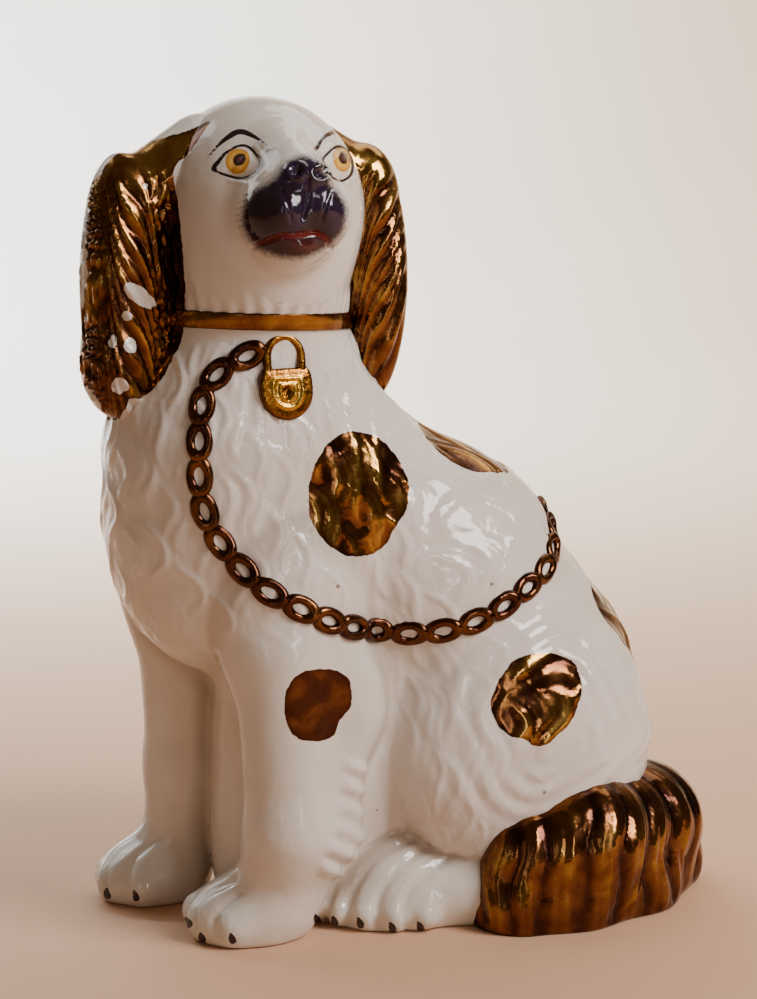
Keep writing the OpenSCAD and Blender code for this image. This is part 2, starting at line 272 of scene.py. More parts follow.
def smooth(points, closed=True, steps=5):
    """More points on a smooth curve through given ones."""
    p = np.array(points, float)
    before, after = np.roll(p, 1, 0), np.roll(p, -1, 0)
    if not closed:
        before[0], after[-1] = 2 * p[0] - p[1], 2 * p[-1] - p[-2]
    beyond = np.roll(after, -1, 0)
    if not closed:
        beyond[-2] = after[-1]
    a, b, c, d = (x[:, None] for x in (before, p, after, beyond))
    t = np.arange(steps)[:, None] / steps
    curve = 0.5 * (2 * b + (c - a) * t + (2 * a - 5 * b + 4 * c - d) * t ** 2
                   + (3 * b - a - 3 * c + d) * t ** 3)
    if closed:
        return np.concatenate(curve)
    return np.concatenate([*curve[:-1], p[-1:]])


def near_line(q, a, b):
    e = b - a
    t = np.clip((q - a) @ e / (e @ e), 0, 1)
    return length(q - a - t[:, None] * e), t


def run_along(line):
    """Length of a line up to each of its points."""
    return np.concatenate([[0], np.cumsum(length(np.diff(line, axis=0)))])


def outline(q, points):
    """Signed distance to a closed outline, negative inside."""
    best, inside = np.full(len(q), 1e9), np.zeros(len(q), bool)
    points = np.array(points, float)
    for a, b in zip(points, np.roll(points, -1, 0)):
        best = np.minimum(best, near_line(q, a, b)[0])
        rise = b[1] - a[1] or 1e-9
        level = (a[1] <= q[:, 1]) != (b[1] <= q[:, 1])
        inside ^= level & (q[:, 0] < a[0] + (q[:, 1] - a[1]) * (b[0] - a[0]) / rise)
    return np.where(inside, -best, best)


def stroke(q, points, widths):
    """Distance to a brush stroke's edge; its half width runs through `widths`."""
    points = np.array(points, float)
    best = np.full(len(q), 1e9)
    spans = len(points) - 1
    for i in range(spans):
        d, t = near_line(q, points[i], points[i + 1])
        half = np.interp((i + t) / spans, np.linspace(0, 1, len(widths)), widths)
        best = np.minimum(best, d - half)
    return best


def bump(d, width):
    return np.exp(-(d / width) ** 2)


def ramp(x, low, high):
    t = np.clip((x - low) / (high - low), 0, 1)
    return t * t * (3 - 2 * t)


# The face, drawn on the sheet
LEFT_LID = smooth([
    (-59.4, 267.1), (-57.6, 270.2), (-55.1, 273.1), (-50.7, 275.6), (-47, 275.3), (-44.2, 272.6),
    (-42.4, 270), (-43, 268), (-45.3, 265.4), (-49.6, 264), (-54, 264.8)])
RIGHT_LID = smooth([
    (-20, 270.4), (-17.5, 273.6), (-14.6, 275.5), (-11.4, 274.2), (-9.4, 269.5), (-9.8, 265.5),
    (-12.5, 263.2), (-15.5, 263.6), (-18.4, 266)])
EYES = [  # lid outline, iris centre and radii, pupil centre and radii
    (LEFT_LID, (-50.6, 270), (4.6, 4.6), (-50, 270.4), (2.6, 2.6)),
    (RIGHT_LID, (-13.6, 270.6), (3.5, 4.6), (-13.4, 271), (1.9, 2.5)),
]
LEFT_BROW = smooth([
    (-61.6, 271.3), (-59, 274.7), (-56.1, 277.4), (-51.9, 280.3), (-48.9, 280.7), (-45.3, 279.2),
    (-42.4, 277.4), (-39.9, 275.3)], closed=False)
RIGHT_BROW = smooth([
    (-22.7, 274.5), (-21.1, 277.1), (-19, 279.2), (-15.3, 280.9), (-12.5, 279.8), (-9.6, 277),
    (-7.8, 273.5)], closed=False)
MUZZLE = smooth([
    (-26.2, 272.7), (-30.9, 271.7), (-34.5, 269), (-37.7, 264.8), (-42.1, 261.9), (-45.8, 259.2),
    (-48.9, 254.7), (-50, 247.8), (-47.8, 242), (-43, 237.7), (-37, 235.2), (-28, 234.6), (-20.2, 237.2),
    (-15.3, 240.6), (-12.1, 244.6), (-11, 249.6), (-11.3, 254.3), (-13.5, 258.2), (-16.8, 262.2),
    (-18.8, 267.7), (-21.9, 271.3)])
MOUTH = smooth([
    (-45.5, 239), (-40.6, 241), (-34.8, 243.1), (-29.4, 243.3), (-22.9, 244.2), (-18.6, 242),
    (-17.5, 239)], closed=False)
PHILTRUM = smooth([
    (-25.3, 264), (-25.6, 259.5), (-26.4, 254), (-27.2, 249.5)], closed=False)
NOSTRILS = (-29.6, 266.6), (-21, 265.8)
LOBES = (-33, 253.5), (-19.2, 253.8)
LOWER_LIP = (-27.5, 239.2)
# Whisker strokes: roots down the muzzle's left edge
WHISKERS = [(-47.5, 258.2), (-48.7, 255.8), (-49.5, 253.4), (-50, 251), (-50, 248.8), (-49.4, 246.6)]

# Lustre patches on the sheet
SHOULDER_SPOT = smooth([
    (-9.6, 172.4), (-2.3, 170.9), (4.2, 165.9), (8.8, 158.6), (10.6, 150.7), (9.2, 143.5), (4.9, 137),
    (2.3, 131.6), (-6, 127.6), (-13.9, 128.7), (-20.4, 133.4), (-24.4, 140.6), (-25.5, 149.6),
    (-23.6, 159.4), (-19.3, 167), (-14.6, 170.9)])
FORELEG_SPOT = smooth([
    (-28.7, 85), (-21.1, 86.8), (-13.5, 85.4), (-10.3, 81.8), (-9.9, 73.5), (-12.6, 70), (-14.6, 67.7),
    (-16.1, 63), (-21.5, 60.8), (-28.3, 61.5), (-32.7, 65.9), (-34.1, 74.5), (-32.3, 80.7)], steps=3)
HAUNCH_SPOT = smooth([
    (48.2, 89.3), (54.7, 91.9), (62.6, 92.2), (69.9, 89.3), (72.7, 82.8), (72, 74.9), (69.1, 67.7),
    (64.5, 63.5), (61, 60.2), (55.4, 59.2), (52.5, 61.9), (47.5, 62.6), (42.8, 67), (40.6, 73.8),
    (42.8, 81.4)])
EAR_LUSTRE = smooth([
    (-61, 284.6), (-68.8, 280.8), (-92.4, 273.5), (-100, 265.9), (-105, 257.6), (-106.5, 225.6),
    (-109, 203.6), (-109.5, 192.9), (-104.1, 187), (-96, 176), (-88.6, 184), (-84, 185), (-77, 193),
    (-71, 206.6), (-70, 225.6), (-72, 251.4), (-74, 266.5), (-68.8, 272.7), (-62.7, 281)])
# Patches seen only from the back and the plain side: places on the skin, and radii
FAR_SPOTS = [
    ((27, -7, 164), (24, 17, 14)), ((88, -17, 97), (17, 21, 27)),
    ((-24, 47, 152), (20, 20, 24)), ((42, 66, 78), (20, 20, 19)),
]
# Bare places where the ear's lustre has worn off: place on the sheet, radii
WORN = [((-86, 221.5), (7, 3.2)), ((-91, 214), (2.1, 1.9)), ((-96.3, 205), (1.6, 2.5)),
        ((-89.3, 203.6), (2.7, 2.8)), ((-93.4, 188.7), (3.3, 3.2)), ((-84, 261.4), (1.1, 1.1))]
# Claw tips of the near and front feet, and the soft creases between the toes
CLAWS = [(-69, -5.6), (-63.8, -11.2), (-52.9, -11.4), (-98.1, 4.7), (-87.8, 4), (-22.2, -4.6),
         (-16.1, -5.1), (-6.7, -5.8), (4.9, -7.4), (15, -7.2)]
TOE_CREASES = [smooth(line, False) for line in (
    [(-58.4, -9), (-59.5, -3.5), (-55.4, 1.2), (-50, 6)],
    [(-66.2, -6), (-66.2, 1.2), (-60.8, 6.6), (-52, 10.6)],
    [(-90, 5), (-90.7, 12.6), (-87.7, 19.3), (-79.6, 26)],
    [(-98.4, 8), (-98, 15.3), (-93.8, 20.7), (-87, 25.4)],
    [(-19, -4), (-16.4, 7), (-8.5, 19.7), (3, 27)],
    [(-11.4, -4.5), (-9.6, 5.2), (-1.3, 17.9), (13.5, 26.2)],
    [(-1, -5.6), (0.5, 5.2), (8.5, 16), (23, 25.8)],
    [(10, -6.7), (9.6, 3.4), (16.8, 12.4), (29.4, 21.5)])]


# ---- relief
def locks(across, z, shift):
    """Staggered S-shaped tufts, each a curved bundle of strands, from 0 to 1."""
    wide, tall = 11.5, 27.0
    a = across / wide + shift
    column = np.floor(a)
    b = z / tall + shift + 0.37 * column + 0.12 * np.sin(2.7 * column)
    row = np.floor(b)
    chance = np.sin(row * 12.9898 + column * 78.233) * 43758.5453
    chance = chance - np.floor(chance)
    a, b = a - column - 0.5, b - row
    bend = (0.15 + 0.17 * chance) * np.sin(2 * np.pi * (b + 0.2 * chance))
    away = a - bend * np.cos(np.pi * a)
    strands = 0.74 + 0.26 * np.cos(2 * np.pi * away * 2.8 + 6 * chance)
    ends = (np.cos(np.pi * a) * np.sin(np.pi * b)) ** 0.7
    return np.cos(np.pi * away * 0.8) ** 2 * ends * strands


def hair(p):
    """Height of the combed locks above the smooth skin."""
    x, y, z = p.T.astype(float)
    side = -(x - np.interp(z, *SPINE))
    across = 40 * np.arctan2(side, -(y - 4))
    lean = 0.25 * (z - 110) * ramp(x, -20, 30) + 3 * np.sin(z / 24 + across / 30)
    height = np.maximum(locks(across + lean, z, 0.0), 0.9 * locks(across + lean, z, 0.5))

    # the thigh is combed in rings round its patch
    from_thigh = np.hypot(x - 40, (z - 74) * 1.05)
    turn = np.arctan2(z - 74, x - 40)
    ring = wave(from_thigh / 8.2 + 0.3 * np.sin(4 * turn))
    ring *= 0.6 + 0.4 * np.sin(5 * turn + from_thigh / 5)
    thigh = ramp(from_thigh, 50, 34) * ramp(y, -20, -34) * ramp(from_thigh, 13, 22)
    height = height * (1 - 0.55 * thigh) + 0.6 * ring ** 0.8 * thigh

    # smooth head, legs, belly and feet
    own = body(p)
    keep = ramp(z, 213, 205) * ramp(z, 8, 26)
    for name in LUTED:
        fade = ramp(own - paw(p, name), 2, -3)
        if "foreleg" in name:
            fade = np.maximum(fade, ramp(z, 104, 124))
        keep = keep * fade
    keep = keep * np.maximum(ramp(z, 92, 112), ramp(x, -22, 2))
    return 1.55 * height * keep


def paw_depth(p):
    """Distance to the nearest of the four luted limbs."""
    return np.min([paw(p, name) for name in LUTED], axis=0)


def pleats(p, n, q):
    """Folds that the collar gathers, the foreleg's feathering, and creases between toes."""
    x, y, z = p.T.astype(float)
    across = 34 * np.arctan2(x + 48, -(y + 2))
    fold = wave(across / 5.6 + 0.1273 * np.sin(z / 3))
    gathered = ramp(z, 217, 220) * ramp(z, 230 + 2.5 * np.sin(across / 3.1), 223) * ramp(y, 12, 2)
    feather = wave((q[:, 1] + 0.4 * q[:, 0] + 1) / 8.2)
    edge = q[:, 0] - np.interp(q[:, 1], [12, 29, 52, 60], [-14, -8.5, -4.3, -3])
    behind = ramp(edge, -10, -6) * ramp(q[:, 1], 8, 14) * ramp(q[:, 1], 58, 50)
    on_leg = ramp(body(p) - paw(p, "left_foreleg"), 0, 3)
    creases = np.zeros(len(p))
    feet = p[:, 2] < 34
    for line in TOE_CREASES:
        creases[feet] = np.maximum(creases[feet], bump(stroke(q[feet], line, [0]), 1.4))
    creases *= ramp(n @ AWAY, 0.05, 0.3) * ramp(paw_depth(p), 2.5, 0.5)
    return 0.7 * fold * gathered + 1.6 * feather ** 0.8 * behind * on_leg - 1.1 * creases


def face_relief(q):
    """Lids, nostrils and mouth, modelled in the sheet's own places."""
    height = np.zeros(len(q))
    for lid, *_ in EYES:
        d = outline(q, lid)
        height += 1.1 * ramp(-d, 0, 3.5) - 0.35 * bump(d, 0.8) + 0.4 * bump(d - 1.5, 1.1)
    for brow in (LEFT_BROW, RIGHT_BROW):
        height += 0.5 * bump(stroke(q, brow, [0]), 2.4)
    for nostril in NOSTRILS:
        d = length((q - nostril) / (1.2, 1))
        height += -1.9 * bump(d, 1.5) + 0.7 * bump(d - 2.6, 1.1)
    for lobe in LOBES:
        height += 1.5 * bump(length((q - lobe) / (1, 1.2)), 4.6)
    d = length((q - LOWER_LIP) / (2, 1))
    height += 0.9 * bump(d, 2.4)
    height -= 1.5 * bump(stroke(q, MOUTH, [0]), 0.85)
    height -= 0.9 * bump(stroke(q, PHILTRUM, [0]), 0.9)
    for (x, y), turn in zip(LOBES, (-1, 1)):
        fold = smooth([(x + turn * 2, y + 6), (x, y + 1), (x - turn * 1.5, y - 5)], False)
        height -= 0.45 * bump(stroke(q, fold, [0]), 0.7)
    return height


# ---- paint
def paint(p, n, height):
    """Every painted layer as a value at each point of the skin."""
    q = sheet(p)
    front = n @ AWAY
    shown = front > 0.02
    spot = np.full(len(p), 40.0)
    for drawn in (SHOULDER_SPOT, FORELEG_SPOT, HAUNCH_SPOT, EAR_LUSTRE):
        turned = -0.4 if drawn is EAR_LUSTRE else 0.02
        near = (front > turned) & (np.abs(q - np.mean(drawn, 0)).max(1) < 70)
        spot[near] = np.minimum(spot[near], outline(q[near], drawn))
    for centre, radii in FAR_SPOTS:
        spot = np.minimum(spot, ball(p, centre, radii))
    # depth into the joins between the body and the luted limbs, for the painted shade along them
    limbs = [paw(p, name) for name in LUTED]
    join_shade = np.min([np.abs(body(p) - d) + 2 * np.abs(d) for d in limbs], axis=0)

    face = shown & (p[:, 2] > 226)
    f = q[face]
    full = {k: np.full(len(p), v) for k, v in
            (("muzzle", 40.0), ("line", 40.0), ("iris", 4.0), ("pupil", 4.0), ("red", 0.0))}
    full["muzzle"][face] = outline(f, MUZZLE)
    line = full["line"][face]
    for lid, iris_at, iris_r, pupil_at, pupil_r in EYES:
        d = outline(f, lid)
        line = np.minimum(line, np.abs(d) - 0.5)
        for name, at, radii in ("iris", iris_at, iris_r), ("pupil", pupil_at, pupil_r):
            ring = np.where(d < 0, length((f - at) / radii), 4.0)
            full[name][face] = np.minimum(full[name][face], ring)
    line = np.minimum(line, stroke(f, LEFT_LID[:12], [0.95, 0.5]))
    line = np.minimum(line, stroke(f, LEFT_BROW, [0.3, 0.5, 1.05, 1.0, 0.55, 0.3]))
    line = np.minimum(line, stroke(f, RIGHT_BROW, [0.8, 0.6, 0.8, 0.95, 0.5, 0.35]))
    for x, y in WHISKERS:
        line = np.minimum(line, stroke(f, [(x + 1.5, y + 0.5), (x - 2.2, y - 0.8)], [0.22, 0.1]))
    full["line"][face] = line
    lip = length((f - LOWER_LIP) / (2.4, 1))
    full["red"][face] = bump(np.maximum(stroke(f, MOUTH, [0.3]), 0), 0.8) + 0.35 * bump(lip, 2.6)
    feet = shown & (p[:, 2] < 14)
    for x, y in CLAWS:
        drop = stroke(q[feet], [(x + 0.3, y + 0.2), (x - 0.7, y + 2.8)], [1.35, 1.2, 0.4])
        full["line"][feet] = np.minimum(full["line"][feet], drop)
    for x, y in FAR_HIND_CLAWS:
        drop = limb(p, (x - 3, y + 4, 2), (x - 2, y + 3, 5), 2.4, 1.2)
        full["line"] = np.minimum(full["line"], drop)
    return {"spot": spot, "height": height, "join_shade": join_shade, **full}


# ---- mesh pieces
def vertex_normals(p, quads):
    a, b, c, d = (p[quads[:, i]] for i in range(4))
    flat = np.cross(c - a, d - b)
    n = np.zeros_like(p)
    for i in range(4):
        for k in range(3):
            n[:, k] += np.bincount(quads[:, i], flat[:, k], len(p))
    return unit(n)


def edges_of(quads):
    return np.stack([quads, np.roll(quads, -1, 1)], 2).reshape(-1, 2)


def neighbours(quads):
    """Pairs of quads that share an edge."""
    ends = np.sort(edges_of(quads), 1)
    key = ends[:, 0] * (ends.max() + 1) + ends[:, 1]
    order = np.argsort(key, kind="stable")
    face = order // 4
    same = key[order][1:] == key[order][:-1]
    return face[:-1][same], face[1:][same]


def tidy_labels(labels, quads, count):
    """Smooths the borders between pieces, and gives each island to its neighbour."""
    a, b = neighbours(quads)
    for _ in range(4):
        votes = np.zeros((len(labels), count), int)
        votes[np.arange(len(labels)), labels] = 1
        np.add.at(votes, (a, labels[b]), 1)
        np.add.at(votes, (b, labels[a]), 1)
        labels = votes.argmax(1)
    island = np.arange(len(labels))
    same = labels[a] == labels[b]
    while True:
        low = np.minimum(island[a[same]], island[b[same]])
        new = island.copy()
        np.minimum.at(new, a[same], low)
        np.minimum.at(new, b[same], low)
        new = new[new]
        if (new == island).all():
            break
        island = new
    size = np.bincount(island, minlength=len(labels))
    stays = np.zeros(len(labels), bool)
    for k in range(count):
        own = np.flatnonzero(labels == k)
        if len(own):
            biggest = island[own[size[island[own]].argmax()]]
            stays |= island == biggest
    while not stays.all():
        for x, y in ((a, b), (b, a)):
            take = ~stays[x] & stays[y]
            labels[x[take]] = labels[y[take]]
            stays[x[take]] = True
    return labels


def open_edges(quads):
    """Directed edges that only one face has."""
    edges = edges_of(quads)
    edges = edges[edges[:, 0] != edges[:, 1]]
    key = edges @ (quads.max() + 1, 1)
    back = edges @ (1, quads.max() + 1)
    return edges[~np.isin(key, back)]


def loops(edges):
    after = {}
    for a, b in edges.tolist():
        after.setdefault(a, []).append(b)
    out = []
    while after:
        ring = [next(iter(after))]
        while len(ring) == 1 or ring[-1] != ring[0]:
            here = ring[-1]
            ring.append(after[here].pop())
            if not after[here]:
                del after[here]
        out.append(ring[:-1])
    return out


def build(name, p, quads, normals, material, layers, nodes, slot, wall=0.0):
    """One closed piece from a patch of skin: walled where it is hollow, else filled behind."""
    used, quads = np.unique(quads, return_inverse=True)
    quads = quads.reshape(-1, 4)
    p, normals = p[used], normals[used]
    layers = {k: v[used] for k, v in layers.items()}
    faces = quads.tolist()
    edges = open_edges(quads)
    if len(edges) and wall:
        n = len(p)
        inner = p - wall * normals
        faces += (quads[:, ::-1] + n).tolist()
        faces += [[b, a, a + n, b + n] for a, b in edges.tolist()]
        p, normals = np.concatenate([p, inner]), np.concatenate([normals, -normals])
        layers = {k: np.concatenate([v, v]) for k, v in layers.items()}
    elif len(edges):
        for ring in loops(edges):
            inset = p[ring] - 3 * normals[ring]
            deep = [len(p) + i for i in range(len(ring))]
            for i in range(len(ring)):
                a, b, c, d = ring[i - 1], ring[i], deep[i - 1], deep[i]
                faces += [[b, a, c, d], [d, c, len(p) + len(ring)]]
            p = np.vstack([p, inset, inset.mean(0)])
            normals = np.vstack([normals, -normals[ring], -normals[ring].mean(0)])
            layers = {k: np.concatenate([v, v[ring], [v[ring].mean()]])
                      for k, v in layers.items()}
    mesh = bpy.data.meshes.new(name)
    mesh.from_pydata(((p + TO_MIDDLE) * MM).tolist(), [], faces)
    for key, value in layers.items():
        attribute = mesh.attributes.new(key, "FLOAT", "POINT")
        attribute.data.foreach_set("value", value.astype(np.float32))
    mesh.polygons.foreach_set("use_smooth", np.ones(len(mesh.polygons), bool))
    mesh.update()
    mesh.normals_split_custom_set_from_vertices(normals.tolist())
    return place(name, mesh, material, nodes, slot)


def linked(name, data):
    thing = bpy.data.objects.new(name, data)
    bpy.context.scene.collection.objects.link(thing)
    return thing


def place(name, mesh, material, nodes, slot):
    piece = linked(name, mesh)
    mesh.materials.append(material)
    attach(piece, "root")
    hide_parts(*nodes)
    return piece


# ---- materials
class Finish:
    """Writes a Principled material a node at a time."""

    def __init__(self, name):
        self.material = bpy.data.materials.new(name)
        self.material.use_nodes = True
        self.tree = self.material.node_tree
        self.shader = self.tree.nodes["Principled BSDF"]
        self.place = self.add("TexCoord").outputs["Object"]

    def add(self, kind, **settings):
        node = self.tree.nodes.new("ShaderNode" + kind)
        for key, value in settings.items():
            setattr(node, key, value)
        return node

    def put(self, socket, value):
        if isinstance(value, bpy.types.NodeSocket):
            self.tree.links.new(value, socket)
        else:
            socket.default_value = value

    def wire(self, node, sockets, values):
        for socket, value in zip(sockets, values):
            self.put(socket, value)
        return node.outputs[0]

    def set(self, **values):
        for key, value in values.items():
            self.put(self.shader.inputs[key.replace("_", " ")], value)

    def axes(self):
        node = self.add("SeparateXYZ")
        self.put(node.inputs[0], self.place)
        return list(node.outputs)

    def layer(self, name):
        return self.add("Attribute", attribute_name=name).outputs["Fac"]

    def sum(self, kind, a, b=0.0, c=0.0):
        node = self.add("Math", operation=kind)
        return self.wire(node, node.inputs, (a, b, c))

    def scale(self, value, by, plus=0.0):
        return self.sum("MULTIPLY_ADD", value, by, plus)

    def cover(self, share, colour, most=1.0):
        """Lays a colour over the colour so far, as far as `share` says."""
        self.colour = self.mix(self.scale(share, most), self.colour, colour)

    def range(self, value, low, high, to_low=0.0, to_high=1.0, soft=True):
        node = self.add("MapRange", interpolation_type="SMOOTHSTEP" if soft else "LINEAR")
        return self.wire(node, node.inputs, (value, low, high, to_low, to_high))

    def mix(self, share, a, b):
        node = self.add("Mix", data_type="RGBA")
        for socket, v in zip((node.inputs[0], node.inputs[6], node.inputs[7]), (share, a, b)):
            self.put(socket, (*v, 1) if isinstance(v, tuple) and len(v) == 3 else v)
        return node.outputs[2]

    def blend(self, share, a, b):
        node = self.add("Mix", data_type="FLOAT")
        return self.wire(node, (node.inputs[0], node.inputs[2], node.inputs[3]), (share, a, b))

    def noise(self, scale, detail=3.0, rough=0.5, twist=0.0):
        node = self.add("TexNoise")
        sockets = "Vector", "Scale", "Detail", "Roughness", "Distortion"
        values = self.place, scale, detail, rough, twist
        return self.wire(node, [node.inputs[key] for key in sockets], values)

    def cells(self, scale, feature="F1", output="Distance"):
        node = self.add("TexVoronoi", feature=feature)
        self.put(node.inputs["Vector"], self.place)
        node.inputs["Scale"].default_value = scale
        return node.outputs[output]

    def colours(self, value, stops):
        node = self.add("ValToRGB")
        band = node.color_ramp
        while len(band.elements) < len(stops):
            band.elements.new(0.5)
        for element, (at, colour) in zip(band.elements, stops):
            element.position, element.color = at, (*colour, 1)
        self.put(node.inputs[0], value)
        return node.outputs[0]

    def relief(self, height, depth, strength=1.0):
        node = self.add("Bump")
        node.inputs["Strength"].default_value = strength
        node.inputs["Distance"].default_value = depth
        self.put(node.inputs["Height"], height)
        self.put(self.shader.inputs["Normal"], node.outputs[0])


LUSTRE_STOPS = [(0.0, (0.024, 0.012, 0.013)), (0.28, (0.075, 0.027, 0.014)),
                (0.52, (0.20, 0.080, 0.024)), (0.78, (0.46, 0.26, 0.060)), (1.0, (0.82, 0.64, 0.22))]


def lustre_colour_and_sheen(m, height):
    """Copper lustre: red-brown where the film is thick, gold where it is thin; raised crests are also
    painted lighter gold and hollows darker, as painted highlight and shade.
    """
    film = m.noise(60, 4, 0.55, 1.2)
    fine = m.noise(420, 3, 0.6)
    # painted highlight and shade: the height layer paints raised crests lighter gold and hollows darker
    value = m.scale(fine, 0.12, m.scale(film, 0.75, m.scale(height, 0.42, -0.17)))
    return m.colours(value, LUSTRE_STOPS)


CREAM, CREAM_PALE = (0.68, 0.61, 0.53), (0.73, 0.67, 0.60)
LUSTRE_EDGE = (0.05, 0.014, 0.006)


def white_glaze():
    """Cream-white lead glaze over pale clay, with the painted layers on it."""
    m = Finish("white_glaze")
    height, spot = m.layer("height"), m.layer("spot")
    m.colour = m.mix(m.range(m.noise(28, 4), 0.35, 0.65), CREAM, CREAM_PALE)
    # glaze gathers in the grooves and round the foot, where it looks greener
    m.cover(m.range(height, 0.35, 0.0), (0.60, 0.56, 0.44), 0.22)
    low = m.range(m.axes()[2], 0.012, 0.0)
    m.cover(m.scale(low, m.range(m.noise(55), 0.4, 0.7)), (0.52, 0.47, 0.26), 0.55)
    # painted shade: the skin is painted darker along the joins between the body and the luted limbs,
    # where shade falls
    m.cover(m.range(m.layer("join_shade"), 9.0, 1.0), (0.36, 0.27, 0.19), 0.6)
    # fine crazing and a few iron specks
    m.cover(m.range(m.cells(210, "DISTANCE_TO_EDGE"), 0.012, 0.0), (0.42, 0.34, 0.24), 0.10)
    rare = m.sum("GREATER_THAN", m.cells(75, "F1", "Color"), 0.72)
    m.cover(m.scale(m.range(m.cells(75), 0.07, 0.045), rare), (0.16, 0.08, 0.03), 0.75)

    # muzzle: hard at the dog's left, sprayed soft at its right
    edge, grain = m.layer("muzzle"), m.noise(900, 2)
    bloom = m.range(m.noise(90, 2), 0.42, 0.62)
    black = m.mix(bloom, (0.014, 0.006, 0.010), (0.019, 0.008, 0.027))
    m.cover(m.range(m.sum("ADD", edge, m.scale(grain, 2.4, -1.2)), 1.6, -2.4), black)
    red = m.scale(m.layer("red"), m.range(edge, 1.5, -1))
    m.cover(m.sum("MINIMUM", red, 0.85), (0.17, 0.018, 0.012))

    # eyes: amber iris with a darker rim, and a soft brown pupil
    iris, pupil = m.layer("iris"), m.layer("pupil")
    amber = m.mix(m.range(iris, 0.62, 0.98), (0.80, 0.47, 0.09), (0.50, 0.19, 0.02))
    amber = m.mix(m.range(m.noise(700, 2), 0.35, 0.7), amber, (0.62, 0.30, 0.04))
    m.cover(m.range(iris, 1.06, 0.97), amber)
    core = m.mix(m.range(pupil, 0.2, 0.75), (0.10, 0.045, 0.05), (0.035, 0.010, 0.010))
    m.cover(m.range(pupil, 1.12, 0.82), core)
    line = m.scale(grain, 0.24, m.sum("SUBTRACT", m.layer("line"), 0.12))
    m.cover(m.range(line, 0.12, -0.14), (0.018, 0.007, 0.008))

    # lustre, with a thin red-brown edge
    ragged = m.scale(m.noise(260, 4, 0.6), 1.6, m.sum("SUBTRACT", spot, 0.8))
    lustre = m.range(ragged, 0.22, -0.12)
    inwards = m.range(spot, -0.2, -1.6, 0.45, 1.0)
    m.cover(lustre, m.mix(inwards, LUSTRE_EDGE, lustre_colour_and_sheen(m, height)))
    rough = m.range(m.noise(35, 3), 0.3, 0.7, 0.07, 0.15)
    rough = m.blend(lustre, rough, m.range(m.noise(150, 3), 0.3, 0.7, 0.10, 0.22))
    m.set(Base_Color=m.colour, Metallic=lustre, Roughness=rough, IOR=1.52)
    # hand-smoothed clay under thick glaze, and pin holes
    m.relief(m.scale(m.noise(420, 2), 0.18, m.noise(110, 2)), 0.0011, 0.4)
    return m.material


def copper_lustre(name="copper_lustre", bright=0.0):
    """Lustre over modelled clay: ears, tail, collar and chain."""
    m = Finish(name)
    height, bare = m.layer("height"), m.layer("spot")
    ragged = m.scale(m.noise(500, 4, 0.6), 1.2, m.sum("SUBTRACT", bare, 0.6))
    painted = m.range(ragged, 0.2, -0.1)
    m.colour = m.mix(m.range(m.noise(30, 3), 0.35, 0.65), (0.66, 0.60, 0.52), CREAM_PALE)
    inwards = m.range(bare, 0.0, -1.5, 0.5, 1.0)
    m.cover(painted, m.mix(inwards, LUSTRE_EDGE, lustre_colour_and_sheen(m, m.sum("ADD", height, bright))))
    rough = m.blend(painted, 0.1, m.range(m.noise(150, 3), 0.3, 0.7, 0.11, 0.24))
    m.set(Base_Color=m.colour, Metallic=painted, Roughness=rough)
    m.relief(m.scale(m.noise(600, 2), 0.15, m.noise(170, 2)), 0.0009, 0.35)
    return m.material


def gold_lustre():
    """The padlock's brighter, thinner lustre."""
    m = Finish("gold_lustre")
    # random film thickness, plus painted highlight and shade: the height layer paints raised parts
    # lighter gold and recesses darker
    film = m.scale(m.noise(300, 4, 0.6, 1), 0.8, m.scale(m.layer("height"), 0.5))
    colour = m.colours(film, [(0.12, (0.05, 0.018, 0.008)), (0.5, (0.20, 0.075, 0.012)),
                              (0.8, (0.55, 0.29, 0.04)), (1.0, (0.88, 0.62, 0.17))])
    m.set(Base_Color=colour, Metallic=1.0, Roughness=m.range(m.noise(260, 3), 0.3, 0.7, 0.13, 0.3))
    m.relief(m.noise(500, 3), 0.0006, 0.5)
    return m.material


def bare_foot():
    """Dry clay under the slab, rubbed and dusty."""
    m = Finish("bare_foot")
    m.colour = m.mix(m.range(m.noise(45, 5), 0.35, 0.65), (0.55, 0.45, 0.33), (0.70, 0.62, 0.50))
    grit = m.range(m.cells(420), 0.35, 0.1)
    m.cover(grit, (0.36, 0.27, 0.18), 0.3)
    m.set(Base_Color=m.colour, Roughness=m.range(m.noise(300), 0.3, 0.7, 0.75, 0.95))
    m.relief(m.sum("ADD", m.noise(900, 4), grit), 0.0005, 0.6)
    return m.material


# ---- the white ware
FACE_AT, FACE_R = (-42, -44, 256), (37, 34, 33)
# Each piece of the white ware, and the CAD node that it takes the place of
PIECES = {"display_side_skin": "display_half_shell", "plain_side_skin": "plain_half_shell"}
PIECES.update({name: name for name in LUTED})
PIECES.update({"foot_slab": "base_slab", "face": "display_half_shell"})
SLAB, FACE = 6, 7


def in_face(p):
    """Below 1 inside the part of the head that is meshed finer."""
    return length((p - FACE_AT) / FACE_R)


def part_labels(p, quads):
    c = p[quads].mean(1).astype(np.float32)
    labels = (c[:, 1] > SEAM_Y).astype(int)
    own = body(c)
    depth = np.stack([paw(c, name) for name in LUTED])
    best = depth.argmin(0)
    luted = depth.min(0) < own
    labels[luted] = 2 + best[luted]
    just_above = c * (1, 1, 0) + np.float32((0, 0, 6))
    under = (c[:, 2] < 1) & ~luted & (body(just_above) < -3)
    hole = (np.hypot(c[:, 0] - VENT_AT[0], c[:, 1] - VENT_AT[1]) < VENT_R + 2) & (c[:, 2] < 9)
    labels[under | hole] = SLAB
    labels[in_face(c) < 1] = FACE
    return tidy_labels(labels, quads, len(PIECES))


